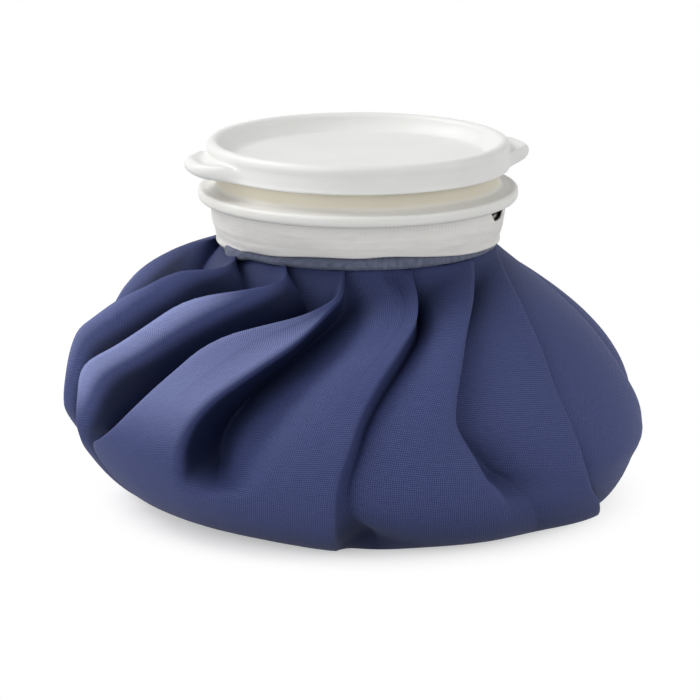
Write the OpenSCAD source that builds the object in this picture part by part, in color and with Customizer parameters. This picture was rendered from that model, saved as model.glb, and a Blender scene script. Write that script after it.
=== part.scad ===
/* [Lid] */
// Outer diameter of the lid skirt
lid_d = 72; // [60:0.5:90]
// Overall height of the lid
lid_h = 6.7; // [6.4:0.1:10]
// Wall of the lid skirt
skirt_t = 1.3; // [1:0.1:1.8]
// Width of the rounded rim on top of the lid
rim_w = 2.9; // [2.6:0.1:3.6]
// Depth of the dished top below the rim
recess_depth = 4.3; // [3.5:0.1:4.6]
// Inward run of the dished wall from the rim to the floor
recess_run = 2.5; // [1.8:0.1:6]
// Wall of the dished top
recess_t = 0.9; // [0.7:0.1:1]
// Chamfer round the bottom of the skirt
skirt_chamfer = 0.4; // [0.1:0.1:0.8]

/* [Finger lugs] */
// How far each finger lug stands out from the skirt
lug_reach = 6.1; // [3:0.1:9]
// Width of each finger lug
lug_w = 18.4; // [12:0.2:26]
// Height of each finger lug
lug_h = 3.5; // [2:0.1:5]
// Corner radius of each finger lug
lug_corner_r = 4.6; // [1:0.1:5.5]
// Angle of the pair of finger lugs from the X axis
lug_turn = 18; // [0:1:90]
// Depth of the thumb dish in the top of each lug
lug_dish = 0.7; // [0.3:0.1:1.2]
// Radius of the ball that shapes the thumb dish
lug_dish_r = 7; // [5:0.5:12]

/* [Closure] */
// Number of catches inside the skirt, and of ramps on the neck
catches = 4; // [3:1:5]
// Angle that one catch takes up
catch_angle = 14; // [8:1:18]
// Angle that one ramp takes up
ramp_angle = 54; // [30:1:56]
// Angle that the end stop of a ramp takes up
stop_angle = 3; // [2:0.5:6]
// Height of a catch
catch_h = 0.8; // [0.5:0.1:1]
// Height of a ramp
ramp_h = 1; // [0.6:0.1:1.2]
// Radial overlap of catch and ramp
catch_bite = 0.45; // [0.2:0.05:0.5]
// Running gap between the moving faces of the closure
run_gap = 0.3; // [0.2:0.05:0.4]
// Height from the bottom of the skirt to the catches
catch_lift = 0.2; // [0:0.1:0.4]

/* [Seal] */
// Width of the sealing ring
seal_w = 1; // [0.6:0.1:1.1]
// Height of the sealing ring
seal_h = 1.2; // [0.8:0.1:1.4]
// Solid rim above the sealing ring
seal_roof = 2.6; // [2.2:0.1:3]

/* [Collar] */
// How far the flange stands out past the lid skirt
flange_reach = 2.1; // [1:0.1:8]
// Thickness of the flange
flange_t = 2.9; // [2:0.1:5]
// Gap between the flange and the lid skirt
lid_gap = 4.6; // [3:0.1:8]
// Step in from the neck to the spigot that the bag is bound to
spigot_step = 2.05; // [1.6:0.05:4]
// Wall of the spigot
spigot_t = 1.4; // [1:0.1:2.5]
// Length of the spigot past the gathered neck of the bag
spigot_tail = 0.9; // [0.4:0.1:3]

/* [Binding] */
// Height of the white tape
tape_h = 8.5; // [7:0.1:11]
// Thickness of the white tape
tape_t = 0.7; // [0.4:0.05:0.9]
// Space between the cord and the tape under the flange
tape_flare = 0.9; // [0.7:0.05:1.2]
// Height of the narrow blue strip under the tape
strip_h = 2.2; // [1:0.1:3]
// Thickness of the narrow blue strip
strip_t = 0.55; // [0.3:0.05:0.8]
// Diameter of the binding cord under the tape
cord_d = 0.8; // [0.5:0.05:0.9]
// Turns of the binding cord
cord_turns = 3; // [2:1:3]
// Rise of the cord in one turn
cord_pitch = 1.3; // [1.3:0.05:1.4]

/* [Bag] */
// Width of the filled bag, without its folds
bag_w = 135; // [124:0.2:160]
// Height of the bag from the ground to the gathered neck
bag_h = 61.7; // [52:0.1:80]
// Height of the widest part of the bag
belly_z = 21.5; // [16:0.1:26]
// How much higher the widest part is on the full side
belly_tilt = 1.2; // [0:0.1:3]
// Diameter of the flat base that rests on the ground
base_d = 102; // [80:1:114]
// How far the base draws in under the crowded folds
base_tuck = 4.3; // [0:0.1:6]
// How far the belly leans to the left
belly_lean = 1.2; // [0:0.1:2]
// How far the base lies to the right
base_lean = 3; // [0:0.1:4]
// How much the shoulder fills out on the full side
shoulder_fill = 0.54; // [0:0.02:0.7]
// Thickness of the cloth, with its folds
cloth_t = 0.6; // [0.4:0.05:0.7]
// How far the bound cloth stops short of the flange
cuff_short = 1; // [0.3:0.1:3]

/* [Folds] */
// Number of pleats round the neck
pleats = 12; // [8:1:16]
// Angle from the X axis of the pleat in the middle of the full side
full_turn = 236.5; // [180:0.5:300]
// Angle either side of it that the full folds reach
full_reach = 50; // [40:1:90]
// How far the full folds stand out
crest_rise = 7.8; // [2:0.1:9]
// How far the hollows between them go in
hollow_depth = 9.4; // [2:0.1:10]
// Depth of the other folds as a share of the full ones
slack_share = 0.36; // [0.1:0.02:0.8]
// Angle that the folds swing between the neck and the belly
pleat_swing = 36; // [0:1:45]
// Angle from the X axis of the side where the folds crowd together
crowd_turn = 196; // [150:1:240]
// Angle that the folds move towards that side
crowd = 10.5; // [0:0.5:12]

/* [Liner] */
// Thickness of the waterproof liner
liner_t = 0.25; // [0.15:0.05:0.3]
// Space between the cloth and the liner at the belly
liner_slack = 11; // [10:0.5:14]
// Drop of the liner under the shoulder of the cloth
liner_drop = 8; // [7:0.5:10]

/* [Hidden] */
$fn = 96;

// Clearance between the layers that are bound on the spigot
layer_gap = 0.1;
// Depth that joined shapes share
lap = 0.3;

// Heights, from the ground up
strip_z = bag_h + 3 * layer_gap;
tape_z = strip_z + strip_h + layer_gap / 2;
flange_z = tape_z + tape_h;
neck_z = flange_z + flange_t;
lid_z = neck_z + lid_gap;
lid_top_z = lid_z + lid_h;
roof_z = lid_top_z - seal_roof;
neck_top_z = roof_z - seal_h;
floor_top_z = lid_top_z - recess_depth;
spigot_z = bag_h - spigot_tail;
cuff_top_z = flange_z - cuff_short;
catch_z = lid_z + catch_lift;
ramp_z = catch_z + catch_h + run_gap;

// Radii, from the lid inwards
lid_r = lid_d / 2;
bore_r = lid_r - skirt_t;
ramp_r = bore_r - run_gap;
catch_r = ramp_r - catch_bite;
neck_r = catch_r - run_gap;
rim_r = rim_w / 2;
flange_r = lid_r + flange_reach;
spigot_r = neck_r - spigot_step;
mouth_r = spigot_r - spigot_t;
liner_cuff_r = spigot_r + layer_gap / 2 + liner_t;
cloth_cuff_r = liner_cuff_r + 2 * layer_gap + cloth_t;
strip_r = cloth_cuff_r + layer_gap + strip_t;
cord_r = cloth_cuff_r + layer_gap + cord_d / 2;
tape_top_r = cord_r + cord_d / 2 + tape_flare + tape_t;
tape_foot_r = cloth_cuff_r + 2 * layer_gap + tape_t;

// The slope of the dished wall, from the rim down to the floor
rim_low = [lid_r - rim_w, lid_top_z - rim_r];
floor_edge = [rim_low.x - recess_run, floor_top_z];
wall_run = rim_low - floor_edge;
wall_out = [wall_run.y, -wall_run.x] / norm(wall_run);
under_high = rim_low + recess_t * wall_out;
under_low = floor_edge + recess_t * wall_out;
function under_r(z) = under_low.x + (z - under_low.y) * wall_run.x / wall_run.y;

// Half of the lid, cut through its axis
module lid_section() {
    difference() {
        union() {
            translate([lid_r - rim_r, lid_top_z - rim_r]) circle(r = rim_r);
            polygon([
                [bore_r, lid_z],
                [lid_r - skirt_chamfer, lid_z],
                [lid_r, lid_z + skirt_chamfer],
                [lid_r, lid_top_z - rim_r],
                [bore_r, lid_top_z - rim_r]
            ]);
            polygon([
                [0, floor_top_z - recess_t],
                [under_low.x, floor_top_z - recess_t],
                under_low,
                under_high,
                [bore_r, roof_z],
                [bore_r, lid_top_z - rim_r],
                rim_low,
                floor_edge,
                [0, floor_top_z]
            ]);
        }
        polygon([
            [under_r(roof_z), roof_z],
            [bore_r, roof_z],
            [bore_r, under_low.y],
            under_low
        ]);
    }
}

// Outline of one finger lug, seen from above
module lug_outline() {
    tip = lid_r + lug_reach;
    half = lug_w / 2;
    difference() {
        union() {
            translate([0, -half]) square([tip - lug_corner_r, lug_w]);
            translate([0, lug_corner_r - half]) square([tip, lug_w - 2 * lug_corner_r]);
            for (side = [-1, 1])
                translate([tip - lug_corner_r, side * (half - lug_corner_r)]) circle(r = lug_corner_r);
        }
        circle(r = bore_r + skirt_t / 2);
    }
}

module finger_lug() {
    dish_x = lid_r + lug_reach / 2;
    difference() {
        translate([0, 0, lid_z]) linear_extrude(lug_h) lug_outline();
        translate([dish_x, 0, lid_z + lug_h + lug_dish_r - lug_dish]) sphere(r = lug_dish_r);
    }
}

module lid_shell() {
    color([0.87, 0.87, 0.85]) union() {
        rotate_extrude() lid_section();
        for (half_turn = [0, 180]) rotate(lug_turn + half_turn) finger_lug();
        for (i = [0 : catches - 1])
            rotate(i * 360 / catches - catch_angle / 2)
                rotate_extrude(angle = catch_angle)
                    translate([catch_r, catch_z]) square([bore_r - catch_r + lap, catch_h]);
    }
}

module lid_seal() {
    seal_in = bore_r - run_gap / 2 - seal_w;
    color([0.72, 0.72, 0.7]) rotate_extrude()
        translate([seal_in, neck_top_z]) square([seal_w, seal_h]);
}

// Half of the collar, cut through its axis
module collar_section() {
    lip_in = under_r(neck_top_z) + run_gap;
    seat_z = under_low.y - run_gap;
    edge_r = flange_t / 2;
    translate([flange_r - edge_r, flange_z + edge_r]) circle(r = edge_r);
    translate([mouth_r, flange_z]) square([flange_r - edge_r - mouth_r, flange_t]);
    translate([mouth_r, spigot_z]) square([spigot_t, flange_z + lap - spigot_z]);
    polygon([
        [mouth_r, neck_z - lap],
        [neck_r, neck_z - lap],
        [neck_r, neck_top_z],
        [lip_in, neck_top_z],
        [max(mouth_r, under_low.x + run_gap), seat_z],
        [mouth_r, seat_z - run_gap]
    ]);
}

// One ramp on the neck, with the stop that ends the turn of the lid
module ramp() {
    gap_half = (360 / catches - ramp_angle) / 2;
    rotate(-gap_half - ramp_angle) {
        rotate_extrude(angle = ramp_angle)
            translate([neck_r - lap, ramp_z]) square([ramp_r - neck_r + lap, ramp_h]);
        rotate_extrude(angle = stop_angle)
            translate([neck_r - lap, catch_z]) square([ramp_r - neck_r + lap, ramp_z + ramp_h - catch_z]);
    }
}

module neck_collar() {
    color([0.83, 0.82, 0.78]) union() {
        rotate_extrude() collar_section();
        for (i = [0 : catches - 1]) rotate(i * 360 / catches) ramp();
    }
}

// A closed tube from rings of points that each have the same number of sides
function tube_faces(rings, sides) = [
    for (i = [0 : rings - 2], j = [0 : sides - 1])
        let (k = (j + 1) % sides, a = i * sides, b = a + sides)
        each [[a + j, b + k, b + j], [a + j, a + k, b + k]],
    for (j = [1 : sides - 2]) each [[0, j + 1, j],
        [(rings - 1) * sides, (rings - 1) * sides + j, (rings - 1) * sides + j + 1]]
];

module binding_cord() {
    sides = 6;
    steps = 36;
    rings = cord_turns * steps + 1;
    top_z = flange_z - layer_gap - cord_d / 2;
    bend_r = cord_r / cos(180 / steps);
    points = [
        for (i = [0 : rings - 1], j = [0 : sides - 1])
            let (
                turn = 360 * i / steps,
                r = bend_r + cord_d / 2 * cos(360 * j / sides),
                z = top_z - cord_pitch * i / steps + cord_d / 2 * sin(360 * j / sides)
            )
            [r * cos(turn), r * sin(turn), z]
    ];
    echo(gap_between_cord_turns = cord_pitch - cord_d);
    color([0.8, 0.78, 0.72]) polyhedron(points, tube_faces(rings, sides));
}

// Radius of the outside of the tape at a height
function tape_r(z) = tape_top_r - (tape_top_r - tape_foot_r) * pow((flange_z - z) / tape_h, 2);

module binding_tape() {
    steps = 8;
    heights = [for (i = [0 : steps]) tape_z + (tape_h - layer_gap / 2) * i / steps];
    color([0.82, 0.81, 0.79]) rotate_extrude() polygon(concat(
        [for (z = heights) [tape_r(z), z]],
        [for (i = [steps : -1 : 0]) [tape_r(heights[i]) - tape_t, heights[i]]]
    ));
}

module blue_strip() {
    color([0.36, 0.39, 0.5]) rotate_extrude()
        translate([strip_r - strip_t, strip_z]) square([strip_t, strip_h]);
}

// 0 below low, 1 above high, and smooth between them
function ease(low, high, at) =
    let (t = min(1, max(0, (at - low) / (high - low))))
    t * t * (3 - 2 * t);

// How far one angle is from another, the short way round
function turn_from(turn, centre) = (turn - centre + 540) % 360 - 180;

// The side of the bag is a curve in two parts, below and above its widest ring.
// A place on it runs from 0 at the base to 1 at the belly and 2 at the neck.
shoulder_power = 2.2;
liner_power = 2.8;
function side_curve(place, wide, foot, top, power) =
    place <= 1
        ? [foot.x + (wide.x - foot.x) * sin(90 * place), foot.y + (wide.y - foot.y) * (1 - cos(90 * place))]
        : [top.x + (wide.x - top.x) * pow(max(0, cos(90 * (place - 1))), power),
           wide.y + (top.y - wide.y) * sin(90 * (place - 1))];
function bag_curve(place, angle) = side_curve(
    place,
    [bag_w / 2, belly_z + belly_tilt * cos(angle - full_turn)],
    [base_d / 2 - base_tuck * cos(angle - crowd_turn), 0],
    [cloth_cuff_r, bag_h],
    shoulder_power - shoulder_fill * cos(angle - full_turn)
);
function bag_normal(place, angle) =
    let (
        step = 0.01,
        run = bag_curve(min(2, place + step), angle) - bag_curve(max(0, place - step), angle)
    )
    [run.y, -run.x] / norm(run);

// Folds are full on one side of the bag, and flattest at another angle.
full_edge = 14;
flat_turn = 330;
flat_share = 0.5;
function fullness(turn) = max(
    slack_share * (1 - flat_share * cos(turn - flat_turn)),
    1 - ease(full_reach - full_edge, full_reach + full_edge, abs(turn_from(turn, full_turn)))
);

// Each fold falls from its crest to a hollow, and rises to the next crest. A full fold has its hollow near the
// middle. A flat one has it next to the crest, with a panel after it.
parts = 5;
full_hollow = 0.46;
flat_hollow = 0.14;
fall_height = 0.42;
full_rise = [0.32, 0.66];
flat_rise = [0.74, 0.94];
function fold_share(full, part) =
    let (hollow = flat_hollow + (full_hollow - flat_hollow) * full)
    part <= 2 ? hollow * part / 2 : hollow + (1 - hollow) * (part - 2) / (parts - 2);
function fold_height(full, part) =
    part == 0 ? 1
    : part == 1 ? fall_height
    : part == 2 ? 0
    : flat_rise[part - 3] + (full_rise[part - 3] - flat_rise[part - 3]) * full;

// Folds begin under the belly, and are deepest on the shoulder.
fold_foot = 0.7;
fold_top = 1.95;
fold_power = 1.3;
function fold_swell(place) =
    let (share = min(1, max(0, (place - fold_foot) / (fold_top - fold_foot))))
    pow(max(0, sin(180 * share)), fold_power);

// Folds swing between the neck and the belly, and crowd together on one side.
swing_top = 1.85;
crowd_reach = 35;
function fold_swing(turn) =
    let (u = turn_from(turn - pleat_swing, crowd_turn) / crowd_reach)
    pleat_swing + crowd * u * exp((1 - u * u) / 2);

function neck_turn(pleat) = full_turn + 360 * pleat / pleats;
function part_turn(pleat, part) =
    neck_turn(pleat) + 360 / pleats * fold_share(fullness(neck_turn(pleat)), part);
function bag_point(place, pleat, part, inset) =
    let (
        full = fullness(neck_turn(pleat)),
        turn = part_turn(pleat, part),
        angle = turn - fold_swing(turn) * (1 - ease(1, swing_top, place)),
        out = place == 0 ? [0, -1] : bag_normal(place, angle),
        low = -hollow_depth * full * fold_swell(place),
        high = crest_rise * full * fold_swell(place),
        fold = low + (high - low) * fold_height(full, part),
        spot = bag_curve(place, angle) + (fold - inset) * out,
        shift = base_lean * max(0, 1 - place) - belly_lean * sin(90 * place)
    )
    [spot.x * cos(angle) + shift, spot.x * sin(angle), spot.y];
function cuff_point(z, pleat, part, inset) =
    let (
        turn = part_turn(pleat, part),
        r = cloth_cuff_r - inset
    )
    [r * cos(turn), r * sin(turn), z];

module bag_cloth() {
    places = [0, 0.35, 0.68, 1, 1.2, 1.4, 1.58, 1.76, 1.9, 2];
    around = pleats * parts;
    wall_rings = len(places) + 1;
    function wall(inset) = [
        for (place = places, i = [0 : pleats - 1], part = [0 : parts - 1])
            place == 2 ? cuff_point(bag_h, i, part, inset) : bag_point(place, i, part, inset),
        for (i = [0 : pleats - 1], part = [0 : parts - 1]) cuff_point(cuff_top_z, i, part, inset)
    ];
    inner = wall_rings * around;
    function wall_faces(first, flip) = [
        for (row = [0 : wall_rings - 2], j = [0 : around - 1])
            let (
                k = (j + 1) % around,
                a = first + row * around,
                b = a + around
            )
            each flip
                ? [[a + j, a + k, b + k], [a + j, b + k, b + j]]
                : [[a + j, b + k, a + k], [a + j, b + j, b + k]]
    ];
    rim_out = (wall_rings - 1) * around;
    rim_in = inner + rim_out;
    rim = [
        for (j = [0 : around - 1])
            let (k = (j + 1) % around)
            each [[rim_out + j, rim_in + k, rim_out + k], [rim_out + j, rim_in + j, rim_in + k]]
    ];
    base_out = [for (j = [0 : around - 1]) j];
    base_in = [for (j = [around - 1 : -1 : 0]) inner + j];
    color([0.25, 0.28, 0.46]) polyhedron(
        concat(wall(0), wall(cloth_t)),
        concat(wall_faces(0, false), wall_faces(inner, true), rim, [base_out], [base_in])
    );
}

module bag_liner() {
    steps = 8;
    wide = bag_w / 2 - liner_slack;
    foot = base_d / 2 - liner_slack;
    top = bag_h - liner_drop;
    bed_z = cloth_t + layer_gap;
    function edge(inset) = [
        for (i = [0 : 2 * steps])
            side_curve(
                i / steps,
                [wide - inset, belly_z],
                [foot, bed_z + inset],
                [liner_cuff_r - inset, top - inset],
                liner_power
            )
    ];
    inside = edge(liner_t);
    color([0.9, 0.9, 0.9]) rotate_extrude() polygon(concat(
        [[0, bed_z]],
        edge(0),
        [[liner_cuff_r, cuff_top_z], [liner_cuff_r - liner_t, cuff_top_z]],
        [for (i = [2 * steps : -1 : 0]) inside[i]],
        [[0, bed_z + liner_t]]
    ));
}

lid_shell();
lid_seal();
neck_collar();
binding_cord();
binding_tape();
blue_strip();
bag_cloth();
bag_liner();
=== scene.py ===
from collections import namedtuple
from math import atan2, cos, exp, hypot, pi, radians, sin

import bmesh
import bpy
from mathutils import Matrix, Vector, noise


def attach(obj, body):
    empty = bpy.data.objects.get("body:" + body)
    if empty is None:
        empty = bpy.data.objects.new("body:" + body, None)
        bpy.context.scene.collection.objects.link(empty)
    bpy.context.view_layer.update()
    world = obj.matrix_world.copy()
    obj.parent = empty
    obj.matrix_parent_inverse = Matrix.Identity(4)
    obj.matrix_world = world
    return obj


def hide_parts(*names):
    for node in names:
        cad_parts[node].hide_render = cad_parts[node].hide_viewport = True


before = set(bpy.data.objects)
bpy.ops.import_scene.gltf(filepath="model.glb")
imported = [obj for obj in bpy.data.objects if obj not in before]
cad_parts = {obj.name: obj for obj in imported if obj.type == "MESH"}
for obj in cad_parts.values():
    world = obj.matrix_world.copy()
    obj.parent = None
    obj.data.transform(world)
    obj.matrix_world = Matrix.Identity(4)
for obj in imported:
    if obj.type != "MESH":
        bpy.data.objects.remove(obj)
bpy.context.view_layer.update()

MM = 0.001
scene = bpy.context.scene


# Tools for shapes. Lengths are in millimetres. A turn is in degrees from the front, rising to the right.

def through(keys, at):
    """A smooth curve through (where, value) keys in rising order."""
    if at <= keys[0][0]:
        return keys[0][1]
    if at >= keys[-1][0]:
        return keys[-1][1]
    k = 0
    while keys[k + 1][0] < at:
        k += 1

    def slope(i):
        low, high = keys[max(0, i - 1)], keys[min(len(keys) - 1, i + 1)]
        return (high[1] - low[1]) / (high[0] - low[0])

    (a, start), (b, end) = keys[k], keys[k + 1]
    span, rise = b - a, end - start
    t = (at - a) / span
    leave, reach = slope(k) * span, slope(k + 1) * span
    return start + t * (leave + t * (3 * rise - 2 * leave - reach + t * (leave + reach - 2 * rise)))


def all_round(keys):
    """The same curve closed round the axis, as a function of the turn.

    The keys run from -180 to under 180.
    """
    ring = [(a - 360, v) for a, v in keys[-2:]] + keys + [(a + 360, v) for a, v in keys[:2]]
    marks = [through(ring, a - 180) for a in range(361)]

    def at(turn):
        spot = (turn + 180) % 360
        low = int(spot)
        return marks[low] + (marks[low + 1] - marks[low]) * (spot - low)

    return at


def ease(low, high, at):
    """0 below low, 1 above high, and smooth between them."""
    t = min(1, max(0, (at - low) / (high - low)))
    return t * t * (3 - 2 * t)


def off(turn, centre):
    """How far a turn is from a centre, the short way round."""
    return (turn - centre + 180) % 360 - 180


def ring_spot(r, turn, z):
    a = radians(turn)
    return r * sin(a), -r * cos(a), z


def softened(corners, steps=5):
    """A closed outline of (r, z, radius) corners, each rounded by its radius."""
    outline = []
    for i, (r, z, radius) in enumerate(corners):
        spot = Vector((r, z))
        before = Vector(corners[i - 1][:2]) - spot
        after = Vector(corners[(i + 1) % len(corners)][:2]) - spot
        if radius == 0:
            outline.append((r, z))
            continue
        half = before.angle(after) / 2
        cut = min(radius * cos(half) / sin(half), 0.49 * before.length, 0.49 * after.length)
        start, end = spot + before.normalized() * cut, spot + after.normalized() * cut
        for s in range(steps + 1):
            t = s / steps
            bend = start * (1 - t) ** 2 + spot * (2 * t * (1 - t)) + end * t ** 2
            outline.append((bend.x, bend.y))
    return outline


def turned(rows, columns, spot, closed=True, woven_from=None, shape=None, painted_shading_at=None):
    """A tube of rows and columns, where spot(row, turn) gives each point.

    A woven one has a UV map in metres, across its rows from the column given and along its columns.
    """
    shape = shape or bmesh.new()
    # A float on each point that carries painted light and shade, where a function for it is given.
    painted_shading = shape.verts.layers.float.new("painted_shading") if painted_shading_at else None
    steps = rows if closed else rows - 1
    grid = bmesh.ops.create_grid(shape, x_segments=columns, y_segments=steps, size=0.5)["verts"]
    places = {v: (round((v.co.y + 0.5) * steps), round((v.co.x + 0.5) * columns)) for v in grid}
    spots = {}
    for v, (row, column) in places.items():
        v.co = Vector(spot(row % rows, 360 * (column % columns) / columns)) * MM
        spots[row, column] = v.co.copy()
        if painted_shading_at:
            v[painted_shading] = painted_shading_at(row, column % columns)
    if woven_from is not None:
        across, along = {}, {}
        for row in range(steps + 1):
            for column in range(columns + 1):
                here, left, below = (row, column), (row, column - 1), (row - 1, column)
                across[here] = across[left] + (spots[here] - spots[left]).length if column else 0.0
                along[here] = along[below] + (spots[here] - spots[below]).length if row else 0.0
        flat = shape.loops.layers.uv.new("cloth")
        for face in {f for v in grid for f in v.link_faces}:
            for loop in face.loops:
                row, column = places[loop.vert]
                loop[flat].uv = (across[row, column] - across[row, woven_from], along[row, column])
    bmesh.ops.remove_doubles(shape, verts=grid, dist=1e-7)
    bmesh.ops.recalc_face_normals(shape, faces=shape.faces[:])
    return shape


def plain_ring(outline, columns, shape=None):
    """A closed outline of (r, z) points, turned round the axis."""

    def spot(row, turn):
        r, z = outline[row]
        return ring_spot(r, turn, z)

    return turned(len(outline), columns, spot, shape=shape)


def bent_bar(shape, radii, heights, start, span):
    """Adds a bar with square ends, bent round the axis."""
    (inner, outer), (low, high) = radii, heights
    corners = [(inner, low), (outer, low), (outer, high), (inner, high)]
    ends = [shape.verts.new(Vector(ring_spot(r, start, z)) * MM) for r, z in corners]
    edges = [shape.edges.new(pair) for pair in zip(ends, ends[1:] + ends[:1])]
    bmesh.ops.spin(
        shape, geom=ends + edges, cent=(0, 0, 0), axis=(0, 0, 1),
        angle=radians(span), steps=max(2, span // 2),
    )
    bmesh.ops.holes_fill(shape, edges=[e for e in shape.edges if e.is_boundary])


def made_object(name, shape, finish):
    """The shape becomes an object with its finish."""
    mesh = bpy.data.meshes.new(name)
    shape.to_mesh(mesh)
    shape.free()
    mesh.materials.append(finish)
    made = bpy.data.objects.new(name, mesh)
    scene.collection.objects.link(made)
    return made


def piece(name, shape, finish, body, node):
    """The shape becomes a smooth object that rides a body and stands for its node."""
    made = made_object(name, shape, finish)
    made.data.shade_smooth()
    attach(made, body)
    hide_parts(node)
    return made


def thicken(made, name, thickness):
    """Gives a sheet its thickness, on the inside."""
    wall = made.modifiers.new(name, "SOLIDIFY")
    wall.thickness = thickness * MM
    wall.offset = -1


# Tools for finishes

class Value:
    """A socket that can be used in sums."""

    def __init__(self, finish, socket):
        self.finish, self.socket = finish, socket

    def sum(self, operation, first, second):
        return self.finish.node("ShaderNodeMath", {"operation": operation}, {0: first, 1: second})

    def __add__(self, other):
        return self.sum("ADD", self, other)

    def __radd__(self, other):
        return self.sum("ADD", other, self)

    def __mul__(self, other):
        return self.sum("MULTIPLY", self, other)

    def __rmul__(self, other):
        return self.sum("MULTIPLY", other, self)

    def wave(self, length):
        """A wave from 0 to 1 that repeats after this length."""
        return self.sum("SINE", self * (2 * pi / length), 0.0) * 0.5 + 0.5

    def rise(self, low, high):
        """0 below low and 1 above high."""
        return self.finish.node(
            "ShaderNodeMapRange", {"interpolation_type": "SMOOTHSTEP"},
            {0: self, 1: low, 2: high, 3: 0.0, 4: 1.0},
        )


class Finish:
    """A material, or the world, made of nodes."""

    def __init__(self, name, kind=bpy.data.materials):
        self.holder = kind.new(name)
        self.holder.use_nodes = True
        self.tree = self.holder.node_tree
        self.tree.nodes.clear()

    def node(self, kind, settings=None, sockets=None, out=0):
        made = self.tree.nodes.new(kind)
        for key, value in (settings or {}).items():
            setattr(made, key, value)
        for key, value in (sockets or {}).items():
            if isinstance(value, Value):
                self.tree.links.new(value.socket, made.inputs[key])
            else:
                made.inputs[key].default_value = value
        return Value(self, made.outputs[out]) if made.outputs else None

    def place(self):
        return self.node("ShaderNodeTexCoord", out="Object")

    def axes(self, vector):
        """The X, Y and Z of a vector."""
        split = self.node("ShaderNodeSeparateXYZ", sockets={0: vector}).socket.node
        return [Value(self, socket) for socket in split.outputs]

    def woven(self):
        """The two directions of the piece's own UV map, in metres."""
        return self.axes(self.node("ShaderNodeTexCoord", out="UV"))[:2]

    def flat(self, u, v):
        """A place on the weave."""
        return self.node("ShaderNodeCombineXYZ", None, {0: u, 1: v})

    def grain(self, where, size, detail=3.0):
        """Soft noise whose spots are about this size."""
        return self.node(
            "ShaderNodeTexNoise", None,
            {"Vector": where, "Scale": 1 / size, "Detail": detail, "Roughness": 0.55},
        )

    def mix(self, share, first, second):
        """One colour turns into another."""
        first, second = [(*c, 1) if isinstance(c, tuple) else c for c in (first, second)]
        # A colour Mix has its colours at sockets 6 and 7, and its result at 2.
        return self.node(
            "ShaderNodeMix", {"data_type": "RGBA"}, {"Factor": share, 6: first, 7: second}, out=2
        )

    def bump(self, height, depth, strength):
        return self.node(
            "ShaderNodeBump", None, {"Height": height, "Distance": depth, "Strength": strength}
        )

    def seen(self):
        """1 for what the camera sees, also by reflection or through glass, and 0 for what only lights."""
        path = self.node("ShaderNodeLightPath").socket.node.outputs
        rays = ("Is Camera Ray", "Is Glossy Ray", "Is Transmission Ray")
        straight, mirrored, bent = [Value(self, path[ray]) for ray in rays]
        return straight + mirrored + bent

    def surface(self, **sockets):
        named = {key.replace("_", " "): value for key, value in sockets.items()}
        skin = self.node("ShaderNodeBsdfPrincipled", None, named)
        self.node("ShaderNodeOutputMaterial", None, {"Surface": skin})
        return self.holder


# Finishes

PLASTIC_IOR = 1.49


def moulded_white(name, white, shade, rough):
    """Smooth moulded plastic: faint clouding, fine moulding grain and uneven gloss."""
    f = Finish(name)
    where = f.place()
    cloud = f.grain(where, 0.02)
    fine = f.grain(where, 0.0009, 2.0)
    colour = f.mix(cloud.rise(0.35, 0.7), white, shade)
    gloss = rough + 0.1 * cloud + 0.05 * fine
    return f, where, colour, gloss, f.bump(fine, 0.00002, 0.25)


def lid_finish():
    f, _, colour, gloss, skin = moulded_white(
        "lid_white_plastic", white=(0.80, 0.80, 0.785), shade=(0.77, 0.77, 0.752), rough=0.36
    )
    return f.surface(Base_Color=colour, Roughness=gloss, Normal=skin, IOR=PLASTIC_IOR)


def collar_finish():
    """White like the lid, with painted warm shade on the neck above the flange, where the lid shades it."""
    f, where, colour, gloss, skin = moulded_white(
        "collar_white_plastic_painted_shade", white=(0.79, 0.785, 0.76), shade=(0.76, 0.752, 0.722), rough=0.4
    )
    # Painted shade: the neck under the lid is painted a darker, warm cream.
    neck = f.axes(where)[2].rise(0.0757, 0.0774)
    shaded_neck_colour = f.mix(neck, colour, (0.70, 0.655, 0.535))
    return f.surface(Base_Color=shaded_neck_colour, Roughness=gloss, Normal=skin, IOR=PLASTIC_IOR)


def seal_finish():
    f = Finish("seal_grey_rubber")
    dust = f.grain(f.place(), 0.003)
    colour = f.mix(dust, (0.42, 0.41, 0.39), (0.36, 0.355, 0.34))
    return f.surface(Base_Color=colour, Roughness=0.6 + 0.2 * dust, Normal=f.bump(dust, 0.00003, 0.4))


def cord_finish():
    f = Finish("binding_twisted_cotton")
    u, v = f.woven()
    strand = (u + 1.6 * v).wave(0.0008)
    fuzz = f.grain(f.place(), 0.0006)
    colour = f.mix(strand * 0.7 + fuzz * 0.3, (0.44, 0.41, 0.33), (0.66, 0.63, 0.54))
    return f.surface(Base_Color=colour, Roughness=0.9, Normal=f.bump(strand, 0.00008, 0.7))


def tape_finish():
    f = Finish("tape_woven_cotton")
    u, v = f.woven()
    stain = f.grain(f.place(), 0.012, 4.0)
    slub = f.grain(f.flat(u * 0.2, v), 0.0011, 4.0)
    warp, weft = u.wave(0.00095), v.wave(0.0006)
    near_top = v.rise(0.0046, 0.0078)
    weave = warp * (0.06 + 0.4 * near_top * stain) + weft * 0.15 + slub * 0.5
    colour = f.mix(stain.rise(0.3, 0.75), (0.86, 0.85, 0.825), (0.82, 0.805, 0.775))
    shaded = f.mix(weave.rise(0.0, 0.6), (0.74, 0.725, 0.69), colour)
    return f.surface(
        Base_Color=shaded, Roughness=0.88 + 0.08 * slub, Normal=f.bump(weave, 0.00008, 0.35),
        Sheen_Weight=0.1, Sheen_Roughness=0.6,
    )


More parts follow.
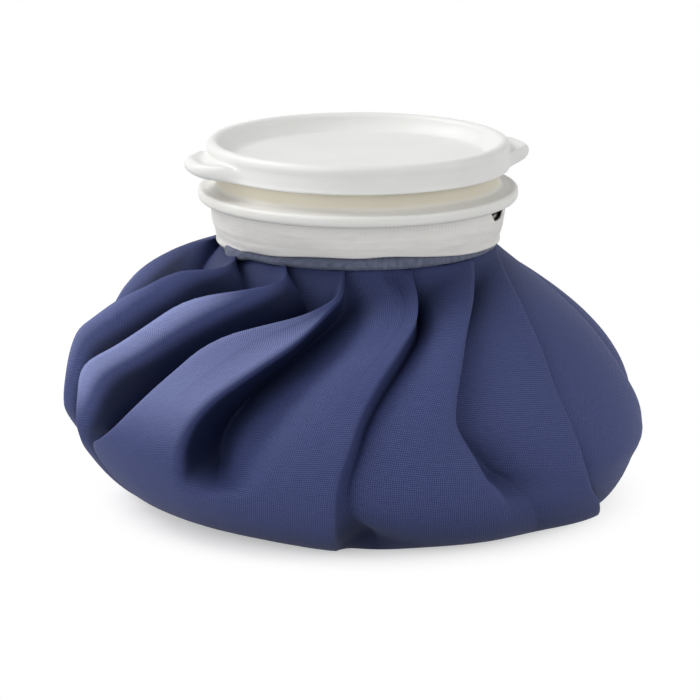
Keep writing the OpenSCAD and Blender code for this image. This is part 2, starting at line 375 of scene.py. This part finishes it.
def strip_finish():
    f = Finish("strip_pale_blue_cloth")
    u, v = f.woven()
    fray = f.grain(f.flat(u, v * 0.5), 0.0012, 4.0)
    cross = u.wave(0.0007) * 0.5 + v.wave(0.0005) * 0.5
    colour = f.mix(fray.rise(0.25, 0.75), (0.07, 0.085, 0.14), (0.135, 0.152, 0.225))
    return f.surface(
        Base_Color=colour, Roughness=0.85, Normal=f.bump(cross + fray, 0.0001, 0.5),
        Sheen_Weight=0.2, Sheen_Roughness=0.5,
    )


def cloth_finish():
    """Plain blue weave: crossing threads, with painted shade in the folds and a painted highlight on the
    crests.
    """
    f = Finish("blue_woven_cloth")
    u, v = f.woven()
    stray = f.grain(f.flat(u, v), 0.002, 2.0) * 0.0004
    thread = 0.0005
    warp, weft = (u + stray).wave(thread), (v + stray).wave(thread)
    painted_shading = f.node("ShaderNodeAttribute", {"attribute_name": "painted_shading"}, out="Fac")
    cloud = f.grain(f.place(), 0.015, 4.0)
    slub = f.grain(f.flat(u * 0.3, v), 0.0008, 2.0)
    weave = warp * weft * 0.8 + slub * 0.3
    threads = weave.rise(0.05, 0.7)
    dyed = f.mix(threads, (0.032, 0.042, 0.12), (0.084, 0.106, 0.272))
    blue = f.mix(cloud.rise(0.35, 0.8) * 0.3, dyed, (0.058, 0.073, 0.18))
    # Painted shade: where the painted shading is low, deep in the folds, the blue goes almost black.
    hollow = f.mix(painted_shading.rise(0.0, 0.6), (0.004, 0.008, 0.032), blue)
    # Painted highlight: a paler, greyer blue on the crests where the painted shading is high.
    highlight_blue = f.mix(threads, (0.16, 0.19, 0.4), (0.34, 0.38, 0.66))
    return f.surface(
        Base_Color=f.mix(painted_shading.rise(0.6, 1.0), hollow, highlight_blue), Roughness=0.6 + 0.1 * slub,
        Normal=f.bump(warp * weft, 0.00005, 0.5), IOR=1.25,
    )


def liner_finish():
    f = Finish("liner_white_film")
    crinkle = f.grain(f.place(), 0.006, 4.0)
    colour = f.mix(crinkle, (0.8, 0.8, 0.79), (0.72, 0.72, 0.715))
    return f.surface(Base_Color=colour, Roughness=0.3 + 0.2 * crinkle, Normal=f.bump(crinkle, 0.0006, 0.6))


# Lid

LID_R = 36.0
LID_Z = 80.25
LID_TOP_Z = 86.95
LID_COLUMNS = 480
RIM_R = 1.45
SKIRT_BORE_R = 34.7
LUG_REACH = 6.1
LUG_TURN = 108.0
QUARTERS = (0, 90, 180, 270)
CATCH_RADII, CATCH_HEIGHTS = (34.05, 35.2), (80.45, 81.25)
CATCH_START, CATCH_SPAN = 83, 14


def lid_shell():
    rim_z = LID_TOP_Z - RIM_R
    rim = [
        (LID_R - RIM_R - RIM_R * cos(a), rim_z + RIM_R * sin(a))
        for a in (radians(18 * s) for s in range(11))
    ]
    dish = [(0, 82.3), (12, 82.34), (22, 82.46), (28, 82.62)] + [
        (28.9 + 2.2 * sin(radians(a)), 83.33 - 0.7 * cos(radians(a))) for a in (10, 25, 40, 55, 68)
    ]
    plain = [
        (35.98, 84.9), (35.86, 84.3), (35.83, 84.02), (35.83, 83.85), (35.83, 83.7), (35.83, 83.5),
        (35.83, 83.3), (35.84, 83.1), (35.85, 82.9), (35.87, 82.6), (35.88, 82.2), (35.9, 81.6),
        (35.93, 81.15), (36.02, 80.85), (36.08, 80.6), (36.0, 80.38), (35.8, LID_Z),
    ]
    full = LID_R + LUG_REACH
    lug = [
        (35.98, 84.9), (35.95, 84.5), (36.2, 84.15), (36.8, 83.9), (37.6, 83.8), (38.5, 83.85),
        (39.4, 84.0), (full - 1.9, 84.1), (full - 1.2, 84.0), (full - 0.6, 83.7), (full - 0.2, 83.25),
        (full, 82.7), (full - 0.05, 82.1), (full - 0.3, 81.5), (full - 0.8, 80.95), (full - 1.7, 80.5),
        (full - 3.2, 80.28),
    ]
    under = [
        (34.9, LID_Z), (SKIRT_BORE_R, 80.42), (SKIRT_BORE_R, 82.4), (SKIRT_BORE_R, 84.35), (33.3, 84.35),
        (32.2, 83.1), (31.35, 82.15), (30.6, 81.8), (22, 81.6), (0, 81.5),
    ]
    first = len(dish) + len(rim)
    outline = dish + rim + plain + under

    def spot(row, turn):
        r, z = outline[row]
        away = min(abs(off(turn, LUG_TURN)), abs(off(turn, LUG_TURN + 180)))
        share = 1 - ease(4, 24, away)
        if first <= row < first + len(plain) and share > 0:
            lug_r, lug_z = lug[row - first]
            r, z = r + (lug_r - r) * share, z + (lug_z - z) * ease(0, 0.35, share)
            hollow = exp(-((r - 38.2) / 1.2) ** 2 - (away / 7.5) ** 2)
            z -= 1.1 * hollow * ease(82.9, 83.4, z)
        return ring_spot(r, turn, z)

    shape = bmesh.new()
    for quarter in QUARTERS:
        bent_bar(shape, CATCH_RADII, CATCH_HEIGHTS, CATCH_START + quarter, CATCH_SPAN)
    return turned(len(outline), LID_COLUMNS, spot, closed=False, shape=shape)


piece("white_lid", lid_shell(), lid_finish(), "lid", "lid_shell")

# Seal and collar

SEAL_COLUMNS = 192
SEAL = softened([
    (33.55, 83.15, 0.25), (34.55, 83.15, 0.25), (34.55, 84.33, 0.25), (33.55, 84.33, 0.25),
], 4)
piece("sealing_ring", plain_ring(SEAL, SEAL_COLUMNS), seal_finish(), "seal", "lid_seal")

COLLAR_COLUMNS = 320
COLLAR = softened([
    (30.2, 60.8, 0.4), (31.6, 60.8, 0.4), (31.6, 72.75, 0.5), (38.1, 72.75, 1.35), (38.1, 75.65, 1.35),
    (36.2, 75.62, 0.8), (33.65, 76.1, 1.6), (33.65, 83.15, 0.3), (32.54, 83.15, 0.3),
    (31.58, 81.76, 0.3), (30.2, 81.46, 0.3),
])
RAMP_START = 18
RAMP_RADII, RAMP_HEIGHTS, RAMP_SPAN = (33.35, 34.4), (81.55, 82.55), 54
STOP_RADII, STOP_HEIGHTS, STOP_SPAN = (33.35, 34.38), (80.45, 82.5), 3


def neck_collar():
    """The collar, with four ramps on its neck and a stop at one end of each."""
    shape = bmesh.new()
    for quarter in QUARTERS:
        bent_bar(shape, RAMP_RADII, RAMP_HEIGHTS, RAMP_START + quarter, RAMP_SPAN)
        bent_bar(shape, STOP_RADII, STOP_HEIGHTS, RAMP_START + quarter, STOP_SPAN)
    return plain_ring(COLLAR, COLLAR_COLUMNS, shape)


piece("white_collar", neck_collar(), collar_finish(), "bag", "neck_collar")

# Binding

CORD_R = 33.2
CORD_HALF = 0.4
CORD_TOP_Z = 72.25
CORD_TURNS = 3
CORD_PITCH = 1.3
CORD_STEPS = 60


def wound_cord():
    shape = bmesh.new()
    ring = bmesh.ops.create_circle(shape, cap_ends=False, radius=CORD_HALF * MM, segments=10)["verts"]
    for v in ring:
        v.co = Vector((CORD_R * MM + v.co.x, 0, CORD_TOP_Z * MM + v.co.y))
    edges = list({e for v in ring for e in v.link_edges})
    bmesh.ops.spin(
        shape, geom=ring + edges, cent=(0, 0, 0), axis=(0, 0, 1), angle=2 * pi * CORD_TURNS,
        steps=CORD_STEPS * CORD_TURNS, dvec=(0, 0, -CORD_PITCH * MM / CORD_STEPS),
    )
    bmesh.ops.holes_fill(shape, edges=[e for e in shape.edges if e.is_boundary])
    bmesh.ops.recalc_face_normals(shape, faces=shape.faces[:])
    flat = shape.loops.layers.uv.new("cloth")
    for face in shape.faces:
        for loop in face.loops:
            spot = loop.vert.co
            loop[flat].uv = (atan2(spot.y, spot.x) * CORD_R * MM, spot.z)
    return shape


piece("wound_cord", wound_cord(), cord_finish(), "bag", "binding_cord")

BAND_COLUMNS = 360
FLANGE_Z = 72.75
TAPE_ROWS = 22
TAPE_TOP_R = 35.2
TAPE_TOP_Z = 72.72
TAPE_THICK = 0.45
TAPE_LOW = all_round([
    (-180, 63.6), (-120, 63.4), (-75, 62.9), (-58, 63.5), (-48, 64.1), (-36, 64.2), (-22, 64.9),
    (-12, 65.1), (0, 65.0), (13, 65.3), (26, 64.7), (45, 63.7), (60, 63.3), (80, 63.0), (130, 63.6),
])
NOTCH_TURN = 71.0
NOTCH_DEPTH = 3.3


def tape_spot(row, turn):
    inside = row >= TAPE_ROWS
    share = (2 * TAPE_ROWS - 1 - row if inside else row) / (TAPE_ROWS - 1)
    low = TAPE_LOW(turn)
    notch = exp(-(off(turn, NOTCH_TURN) / 8) ** 4)
    high = TAPE_TOP_Z - NOTCH_DEPTH * notch
    z = low + (high - low) * share
    drop = (FLANGE_Z - z) / 8.5
    r = TAPE_TOP_R - 1.45 * min(1, drop) ** 2 + 0.35 * max(0, drop - 0.85)
    r += 0.16 * noise.noise(Vector((turn / 9, z / 3, 2))) * ease(0, 0.2, share)
    r += 0.12 * noise.noise(Vector((turn / 22, z / 1.1, 7)))
    return ring_spot(r - (TAPE_THICK if inside else 0), turn, z)


piece(
    "white_tape", turned(2 * TAPE_ROWS, BAND_COLUMNS, tape_spot, woven_from=0), tape_finish(),
    "bag", "binding_tape",
)

STRIP = softened([
    (32.75, 62.1, 0.1), (33.2, 62.05, 0.3), (33.55, 62.7, 0.5), (33.4, 63.9, 0.5), (33.0, 65.2, 0.2),
    (32.75, 65.2, 0.1),
], 4)
LUMP_TURN = -60


def strip_spot(row, turn):
    r, z = STRIP[row]
    roll = ease(32.8, 33.4, r)
    lump = exp(-(off(turn, LUMP_TURN) / 8) ** 4)
    r += roll * (0.22 * noise.noise(Vector((turn / 11, 3, 1))) + 1.0 * lump)
    z += 0.12 * noise.noise(Vector((turn / 8, z / 2, 5))) - 0.9 * lump * roll
    return ring_spot(r, turn, z)


piece(
    "pale_strip", turned(len(STRIP), BAND_COLUMNS, strip_spot, woven_from=0), strip_finish(),
    "bag", "blue_strip",
)

# Bag. A place on its side runs from 0 at the edge of the base to 1 at the belly and 2 at the neck.

NECK_R = 32.55
BAG_H = 61.7
CUFF_TOP_Z = 71.7
FOOT_R = all_round([
    (-180, 52), (-120, 50), (-83, 46), (-57, 42), (-33, 43), (0, 50), (23, 49), (40, 49), (63, 52),
    (90, 53), (135, 52),
])
BELLY_R = all_round([
    (-180, 66), (-120, 66), (-90, 65), (-45, 65.5), (0, 66.5), (45, 66.5), (90, 67.5), (135, 66.5),
])
BELLY_Z = all_round([(-180, 20), (-90, 23.5), (-45, 22), (0, 19.5), (45, 19), (90, 18), (135, 19)])
SHOULDER = all_round([
    (-180, 2.5), (-130, 2.4), (-95, 1.7), (-45, 1.6), (0, 2.2), (45, 2.4), (90, 2.6), (135, 2.7),
])
BASE_LEAN, BELLY_LEAN = 3, -1.7
CLOTH_Z = 0.02


def bag_side(turn, place):
    """The radius and the height of the side, without its folds."""
    belly_r, belly_z = BELLY_R(turn), BELLY_Z(turn)
    if place <= 1:
        foot = FOOT_R(turn)
        a = radians(90 * place)
        return foot + (belly_r - foot) * sin(a), belly_z * (1 - cos(a))
    a = radians(90 * (place - 1))
    slope = SHOULDER(turn)
    r = NECK_R + (belly_r - NECK_R) * max(0.0, cos(a)) ** slope
    return r, belly_z + (BAG_H - belly_z) * sin(a)


def bag_spot(turn, place, height):
    """A point over or under the side of the bag."""
    step = 0.01
    r, z = bag_side(turn, place)
    r1, z1 = bag_side(turn, min(2, place + step))
    r0, z0 = bag_side(turn, max(0, place - step))
    run = hypot(r1 - r0, z1 - z0)
    r, z = r + height * (z1 - z0) / run, z - height * (r1 - r0) / run
    lean = BASE_LEAN * max(0, 1 - place) + BELLY_LEAN * sin(radians(90 * place))
    x, y, z = ring_spot(r, turn, z)
    return x + lean, y, max(CLOTH_Z, z)


# A pleat has a crest with keys of (place, turn, height), and to its right a hollow with keys of (place,
# share of the way to the next crest, height), all from the base up. The fall from the crest and the rise
# after the hollow are each of one kind, from full and round to sharp, or soft. A crest carries a painted
# highlight of up to 1.
Pleat = namedtuple("Pleat", "crest hollow fall rise rubbed")
FULL, ROUND, EVEN, SHARP, SOFT = 0.1, 0.3, 0.5, 1, 2
PUFFED = [
    (0, 0.5, 0), (0.4, 0.5, 0), (0.75, 0.55, -1), (0.95, 0.6, -4), (1.1, 0.65, -8), (1.25, 0.68, -11),
    (1.4, 0.68, -12), (1.55, 0.62, -11), (1.65, 0.45, -8), (1.75, 0.25, -4.8), (1.85, 0.02, -2.4),
    (2, -0.18, -0.25),
]
BACK = [
    (0, 0.4, 0), (0.4, 0.4, 0), (0.8, 0.38, -1.2), (1.2, 0.32, -5), (1.5, 0.26, -6), (1.7, 0.1, -4),
    (1.78, 0.02, -2.4), (1.86, -0.06, -1), (2, -0.18, -0.25),
]


def back_pleat(turn):
    crest = [
        (0, turn - 38, 0), (0.3, turn - 38, 0.3), (0.7, turn - 38, 1.5), (1, turn - 36, 3),
        (1.25, turn - 30, 4), (1.45, turn - 22, 3.6), (1.65, turn - 10, 2.4), (1.85, turn - 2, 1),
        (2, turn, 0.15),
    ]
    return Pleat(crest, hollow=BACK, fall=FULL, rise=FULL, rubbed=0.3)


PLEATS = [
    Pleat(
        crest=[
            (0, -118, 0), (0.4, -120, 0.5), (0.8, -122, 2), (1.1, -120, 3.5), (1.3, -113, 4),
            (1.5, -103, 3.5), (1.7, -95, 2.5), (1.85, -93, 1.2), (2, -97, 0.15),
        ],
        hollow=PUFFED, fall=ROUND, rise=SHARP, rubbed=0.3,
    ),
    Pleat(
        crest=[
            (0, -84, 0), (0.4, -86, 0.5), (0.8, -87, 2), (0.97, -84, 4), (1.11, -81, 5),
            (1.21, -81.5, 6), (1.28, -79, 7), (1.35, -73, 7.5), (1.45, -66, 8), (1.53, -60, 8),
            (1.59, -56.5, 8), (1.64, -52, 7.2), (1.69, -48, 5.5), (1.75, -47, 3.8), (1.84, -50.5, 2),
            (2, -61, 0.15),
        ],
        hollow=PUFFED, fall=ROUND, rise=SHARP, rubbed=0.4,
    ),
    Pleat(
        crest=[
            (0, -68, 0), (0.4, -72, 0.6), (0.7, -77, 1.5), (0.9, -71, 3.2), (1.0, -69, 4.2),
            (1.11, -68, 5.2), (1.18, -67, 6.5), (1.23, -64, 7.5), (1.31, -55.5, 8.5), (1.4, -49, 9),
            (1.49, -44, 9), (1.54, -39, 8.8), (1.61, -30, 7), (1.67, -25.5, 5), (1.76, -25, 2.5),
            (2, -31, 0.15),
        ],
        hollow=PUFFED, fall=ROUND, rise=SHARP, rubbed=1,
    ),
    Pleat(
        crest=[
            (0, -52, 0), (0.4, -56, 0.6), (0.75, -63, 1.8), (0.93, -63, 3), (1.07, -51.5, 5),
            (1.16, -45, 6.5), (1.23, -40.5, 7.5), (1.29, -36.5, 8.5), (1.36, -32.5, 9),
            (1.42, -27.5, 8.7), (1.47, -20.5, 7.8), (1.52, -13.5, 6.5), (1.6, -7.5, 4.5),
            (1.68, -5, 2.5), (2, -6.5, 0.15),
        ],
        hollow=[
            (0, 0.5, 0), (0.5, 0.5, 0.9), (0.9, 0.5, 3.1), (1.05, 0.5, 5), (1.2, 0.5, 7.3),
            (1.34, 0.5, 8.3), (1.47, 0.5, 7), (1.6, 0.5, 4.2), (2, 0.5, 0.1),
        ],
        fall=EVEN, rise=EVEN, rubbed=0.55,
    ),
    Pleat(
        crest=[
            (0, -40, 0), (0.5, -39, 0.8), (0.8, -37, 2.2), (0.99, -35, 4), (1.05, -34.5, 5),
            (1.12, -33, 6), (1.18, -30.5, 7), (1.24, -27, 7.5), (1.3, -22.5, 7.6), (1.34, -19.5, 7.4),
            (1.44, -12.7, 6.2), (1.52, -9, 5), (1.6, -6, 3.8), (1.68, -3.8, 2.3), (2, -5.5, 0.15),
        ],
        hollow=[
            (0, 0.45, 0), (0.5, 0.45, 0.6), (0.75, 0.45, 1.4), (0.84, 0.45, 1.6), (0.88, 0.46, -1),
            (0.93, 0.32, -5), (1.01, 0.2, -8), (1.12, 0.06, -9.5), (1.25, -0.2, -10),
            (1.36, -0.55, -10), (1.47, -0.55, -9), (1.57, -0.35, -7), (1.67, -0.05, -4),
            (1.86, -0.06, -1.1), (2, -0.18, -0.25),
        ],
        fall=SHARP, rise=SOFT, rubbed=0.55,
    ),
    Pleat(
        crest=[
            (0, -28, 0), (0.4, -26, 0.3), (0.75, -21, 0.9), (0.92, -18, 1.3), (1.07, -14, 1.7),
            (1.17, -10, 1.9), (1.27, -6, 2), (1.37, -0.5, 1.9), (1.46, 5.5, 1.4), (1.55, 10, 0.6),
            (1.65, 12, 0), (1.8, 10, 0), (2, 8, 0.15),
        ],
        hollow=[
            (0, 0.5, 0), (0.5, 0.5, 0.5), (0.9, 0.5, 1.8), (1.1, 0.5, 2.4), (1.3, 0.5, 2.6),
            (1.45, 0.5, 2.2), (1.6, 0.5, 0.8), (1.75, 0.5, -0.5), (1.85, 0.4, -0.8), (2, 0.3, -0.1),
        ],
        fall=SOFT, rise=EVEN, rubbed=0.15,
    ),
    Pleat(
        crest=[
            (0, -8, 0), (0.2, -7.5, 0.3), (0.46, -6, 1), (0.72, -4.5, 1.8), (1.01, -2.8, 2.6),
            (1.11, -0.8, 3), (1.23, 2, 3.2), (1.33, 6, 3.4), (1.45, 12.7, 3.2), (1.54, 17.8, 2.8),
            (1.67, 21, 1.8), (1.85, 22, 1), (2, 25, 0.15),
        ],
        hollow=[
            (0, 0.24, 0), (0.15, 0.24, -2.5), (0.3, 0.22, -4.5), (0.46, 0.19, -4.5), (0.6, 0.14, -3.6),
            (0.75, 0.1, -2.6), (0.9, 0.08, -2.4), (1.1, 0.09, -2.6), (1.3, 0.1, -3), (1.5, 0.12, -4.6),
            (1.62, 0.1, -4.8), (1.75, 0, -3), (1.86, -0.08, -1), (2, -0.18, -0.25),
        ],
        fall=SHARP, rise=FULL, rubbed=0,
    ),
    Pleat(
        crest=[
            (0, 34, 0), (0.4, 33.5, 0.3), (0.78, 31, 0.8), (0.92, 29, 1.4), (1.07, 24.7, 2.2),
            (1.16, 21.7, 2.8), (1.2, 21.2, 3), (1.31, 24, 2.8), (1.48, 31.6, 2.4), (1.64, 42.7, 1.6),
            (1.81, 53, 0.8), (2, 57, 0.15),
        ],
        hollow=[
            (0, 0.3, 0), (0.6, 0.3, 0), (0.75, 0.28, -1.2), (0.84, 0.25, -3.6), (0.93, 0.21, -5),
            (1.02, 0.17, -5.4), (1.1, 0.12, -5), (1.2, 0.07, -3.4), (1.3, 0.05, -2.4),
            (1.5, 0.05, -2.2), (1.7, 0.03, -2.2), (1.86, -0.08, -0.9), (2, -0.18, -0.25),
        ],
        fall=SHARP, rise=EVEN, rubbed=0,
    ),
    Pleat(
        crest=[
            (0, 69, 0), (0.2, 68, 0.4), (0.35, 65.5, 2), (0.55, 61.5, 1.6), (0.74, 56, 1.4),
            (1.01, 52, 1.6), (1.12, 49.8, 1.8), (1.25, 49.2, 1.8), (1.39, 52.8, 1.8), (1.56, 60, 1.6),
            (1.71, 69.5, 1.2), (1.8, 77, 0.8), (2, 89, 0.15),
        ],
        hollow=[
            (0, 0.18, 0), (0.35, 0.1, -0.4), (0.5, 0.05, -1.2), (0.7, 0.04, -1), (1, 0.03, -0.8),
            (1.3, 0.03, -0.8), (1.6, 0.02, -0.9), (1.8, -0.04, -0.9), (2, -0.18, -0.25),
        ],
        fall=SHARP, rise=FULL, rubbed=0,
    ),
    Pleat(
        crest=[
            (0, 90, 0), (0.4, 91, 0), (0.75, 92, 0.8), (0.95, 91.4, 2.8), (1.17, 85.5, 1.8),
            (1.29, 88, 1.6), (1.46, 98, 1.4), (1.7, 108, 1), (2, 118, 0.15),
        ],
        hollow=[
            (0, 0.3, 0), (0.4, 0.3, 0), (0.8, 0.2, -0.8), (1.2, 0.08, -1.6), (1.6, 0.02, -2),
            (1.86, -0.06, -0.9), (2, -0.18, -0.25),
        ],
        fall=SHARP, rise=FULL, rubbed=0,
    ),
    back_pleat(148), back_pleat(178), back_pleat(208), back_pleat(236),
]

# The weave is measured from the crest of the pleat at the front.
FRONT_PLEAT = 6
LINE_COLUMNS = 15
BAG_COLUMNS = 2 * LINE_COLUMNS * len(PLEATS)
BASE_ROWS, SIDE_ROWS, CUFF_ROWS = 12, 84, 8


def pair_keys(keys):
    """The keys of the turn or share along a line, and those of its height."""
    return [(place, turn) for place, turn, _ in keys], [(place, height) for place, _, height in keys]


CRESTS = [pair_keys(pleat.crest) for pleat in PLEATS]
HOLLOWS = [pair_keys(pleat.hollow) for pleat in PLEATS]


def fold_lines(place):
    """The crests and hollows that a row crosses, as (turn, height), with the first one again at the end."""
    crests = [(through(turns, place), through(heights, place)) for turns, heights in CRESTS]
    lines = []
    for i, (turn, height) in enumerate(crests):
        beyond = crests[i + 1][0] if i + 1 < len(crests) else crests[0][0] + 360
        shares, depths = HOLLOWS[i]
        lines += [(turn, height), (turn + through(shares, place) * (beyond - turn), through(depths, place))]
    return lines + [(lines[0][0] + 360, lines[0][1])]


def row_place(row):
    """The place of a row: the base is from -1 to 0, and the cuff is past 2."""
    if row <= BASE_ROWS:
        return row / BASE_ROWS - 1
    if row <= BASE_ROWS + SIDE_ROWS:
        return 2 * (row - BASE_ROWS) / SIDE_ROWS
    return 2 + (row - BASE_ROWS - SIDE_ROWS) / CUFF_ROWS


BAG_ROWS = BASE_ROWS + SIDE_ROWS + CUFF_ROWS + 1
ROW_LINES = [fold_lines(min(2, max(0, row_place(row)))) for row in range(BAG_ROWS)]


def fold_at(row, column):
    """The turn, the height and the share of the way up from hollow to crest."""
    line, step = divmod(column, LINE_COLUMNS)
    (start, start_height), (end, end_height) = ROW_LINES[row][line:line + 2]
    t = step / LINE_COLUMNS
    quick, slow = sin(pi / 2 * t), 1 - cos(pi / 2 * t)
    falls = line % 2 == 0
    along, climb = (quick, slow) if falls else (slow, quick)
    pleat = PLEATS[line // 2]
    kind = pleat.fall if falls else pleat.rise
    if kind == SOFT:
        along, climb = t, ease(0, 1, t)
    else:
        along += (t - along) * kind
        climb += ((quick if falls else slow) - climb) * kind
    turn = start + (end - start) * along
    height = start_height + (end_height - start_height) * climb
    return turn, height, 1 - climb if falls else climb


PLAIN_SHADING = 0.6
FULL_RELIEF = 14


def cloth_painted_shading(row, column):
    """Painted light and shade: 0.6 on plain cloth, up to 1 for a painted highlight on the crest of a full
    fold, down to 0 for painted shade deep in a hollow.
    """
    heights = [height for _, height in ROW_LINES[row]]
    line, step = divmod(column, LINE_COLUMNS)
    relief = min(1, abs(heights[line + 1] - heights[line]) / FULL_RELIEF)
    folded = ease(0.1, 0.3, relief)
    deep = 1 - fold_at(row, column)[2]
    place = row_place(row)
    falls = line % 2 == 0
    narrow = {SOFT: 4, SHARP: 1}.get(PLEATS[line // 2].rise, 1.6)
    # Painted shade deep in the hollows of the big folds.
    painted_fold_shade = PLAIN_SHADING * relief * (ease(0.03, 0.38, deep) if falls else deep ** narrow)
    nearest = PLEATS[(line + 1) // 2 % len(PLEATS)]
    # Painted highlight along the crests of the big folds, as strong as the nearest pleat allows.
    rubbed = 0.4 * nearest.rubbed * ease(0.6, 0.95, 1 - deep * folded)
    # Painted shadow cast by a big fold's ridge on the left part of the panel to its right, near the neck.
    painted_ridge_shadow = 0 if falls else 0.3 * (1 - step / LINE_COLUMNS) * folded
    # Painted shade on the cloth near the neck and towards the base.
    shaded = (0.25 + painted_ridge_shadow) * ease(1.4, 1.75, place) + 0.3 * (1 - ease(0.2, 1.15, place))
    painted_shading = PLAIN_SHADING + rubbed * ease(0.95, 1.25, place) * (1 - ease(1.5, 1.7, place)) - painted_fold_shade - shaded
    return max(0.28 * ease(1.6, 1.8, place), painted_shading)


def cloth_spot(row, turn):
    at, height, _ = fold_at(row, round(turn / 360 * BAG_COLUMNS) % BAG_COLUMNS)
    place = row_place(row)
    if place < 0:
        x, y, _ = bag_spot(at, 0, 0)
        return BASE_LEAN + (x - BASE_LEAN) * (1 + place), y * (1 + place), CLOTH_Z
    if place > 2:
        return ring_spot(NECK_R + height, at, BAG_H + (CUFF_TOP_Z - BAG_H) * (place - 2))
    return bag_spot(at, place, height)


def bag_cloth():
    """The pleated cloth, smoothed a little between the base and the binding."""
    weave_from = 2 * FRONT_PLEAT * LINE_COLUMNS
    shape = turned(BAG_ROWS, BAG_COLUMNS, cloth_spot, closed=False, woven_from=weave_from, painted_shading_at=cloth_painted_shading)
    loose = [v for v in shape.verts if 0.0008 < v.co.z < 0.0605]
    bmesh.ops.smooth_vert(
        shape, verts=loose, factor=0.5, use_axis_x=True, use_axis_y=True, use_axis_z=True
    )
    bmesh.ops.recalc_face_normals(shape, faces=shape.faces[:])
    return shape


cloth = piece("cloth_bag", bag_cloth(), cloth_finish(), "bag", "bag_cloth")
thicken(cloth, "cloth_thickness", 0.4)

LINER_ROWS = 60
LINER_COLUMNS = 144
LINER_GAP = 7
LINER_Z = 0.75
LINER_LEAVES = 1.9
LINER_NECK_R = 31.75
LINER_NECK_Z, LINER_TOP_Z = 54, 71.6


def liner_spot(row, turn):
    """The liner lies loosely inside the cloth: over the base, up the side and into the neck."""
    share = row / (LINER_ROWS - 1)
    place = -1 + 3.4 * share
    if place < 0:
        x, y, _ = bag_spot(turn, 0, -LINER_GAP)
        return x * (1 + place), y * (1 + place), LINER_Z
    if place > LINER_LEAVES:
        top = ease(LINER_LEAVES, 2.4, place)
        side = bag_spot(turn, LINER_LEAVES, -LINER_GAP)
        neck = ring_spot(LINER_NECK_R, turn, LINER_NECK_Z + (LINER_TOP_Z - LINER_NECK_Z) * top)
        t = ease(0, 0.25, top)
        return tuple(a + (b - a) * t for a, b in zip(side, neck))
    crease = noise.noise(Vector((turn / 14, place * 2, 9)))
    deep = -LINER_GAP - 8.5 * sin(pi * min(1, max(0, place - 0.9)))
    x, y, z = bag_spot(turn, place, deep + 1.0 * crease * sin(pi * min(1, place)))
    return x, y, max(LINER_Z, z)


liner_shape = turned(LINER_ROWS, LINER_COLUMNS, liner_spot, closed=False)
liner = piece("film_liner", liner_shape, liner_finish(), "bag", "bag_liner")
thicken(liner, "film_thickness", 0.2)

# Floor, light and camera

WHITE = (1, 1, 1, 1)
FLOOR_HALF = 3.0
FILL = 0.4
LAMP_AIM = (0, 0, 0.04)
EYE, EYE_AIM = (-0.0019, -0.95, 0.2641), (-0.0019, 0, 0.0352)


def floor_finish():
    """Matte white that shows as plain white to the camera, with the object's shadow on it."""
    f = Finish("floor_white")
    seen = f.seen()
    away = f.node("ShaderNodeVectorMath", {"operation": "LENGTH"}, {0: f.place()}, out="Value")
    matte = f.node("ShaderNodeBsdfDiffuse", None, {"Color": (0.8, 0.8, 0.8, 1)})
    glow = f.node("ShaderNodeEmission", None, {"Color": WHITE, "Strength": FILL})
    white = f.node("ShaderNodeEmission", None, {"Color": WHITE, "Strength": 1.0})
    lit = f.node("ShaderNodeAddShader", None, {0: matte, 1: glow})
    spread = f.node("ShaderNodeMixShader", None, {0: away.rise(0.045, 0.072), 1: lit, 2: white})
    both = f.node("ShaderNodeMixShader", None, {0: seen, 1: matte, 2: spread})
    f.node("ShaderNodeOutputMaterial", None, {"Surface": both})
    return f.holder


def studio_world():
    f = Finish("studio", bpy.data.worlds)
    seen = f.seen()
    sky = f.node("ShaderNodeBackground", None, {"Color": WHITE, "Strength": FILL})
    white = f.node("ShaderNodeBackground", None, {"Color": WHITE, "Strength": 1.0})
    both = f.node("ShaderNodeMixShader", None, {0: seen, 1: sky, 2: white})
    f.node("ShaderNodeOutputWorld", None, {"Surface": both})
    return f.holder


def floor():
    shape = bmesh.new()
    bmesh.ops.create_grid(shape, x_segments=2, y_segments=2, size=FLOOR_HALF)
    made = made_object("floor", shape, floor_finish())


def aimed(made, spot, aim):
    """Puts a lamp or the camera in its place and points it."""
    made.location = spot
    made.rotation_euler = (Vector(aim) - Vector(spot)).to_track_quat("-Z", "Y").to_euler()
    scene.collection.objects.link(made)


def soft_lamp(name, spot, size, watts):
    lamp = bpy.data.lights.new(name, "AREA")
    lamp.shape = "DISK"
    lamp.size = size
    lamp.energy = watts
    aimed(bpy.data.objects.new(name, lamp), spot, LAMP_AIM)


floor()
scene.world = studio_world()
soft_lamp("key_lamp", (-0.55, 0.1, 0.7), size=0.5, watts=3.9)
soft_lamp("left_lamp", (-0.62, -0.62, 0.36), size=0.8, watts=2.6)
soft_lamp("right_lamp", (0.8, -0.35, 0.4), size=0.8, watts=2.4)

camera = bpy.data.cameras.new("camera")
camera.lens = 209.12
camera.sensor_width = 36
camera.clip_end = 10
view = bpy.data.objects.new("camera", camera)
aimed(view, EYE, EYE_AIM)
scene.camera = view
scene.view_settings.view_transform = "Standard"
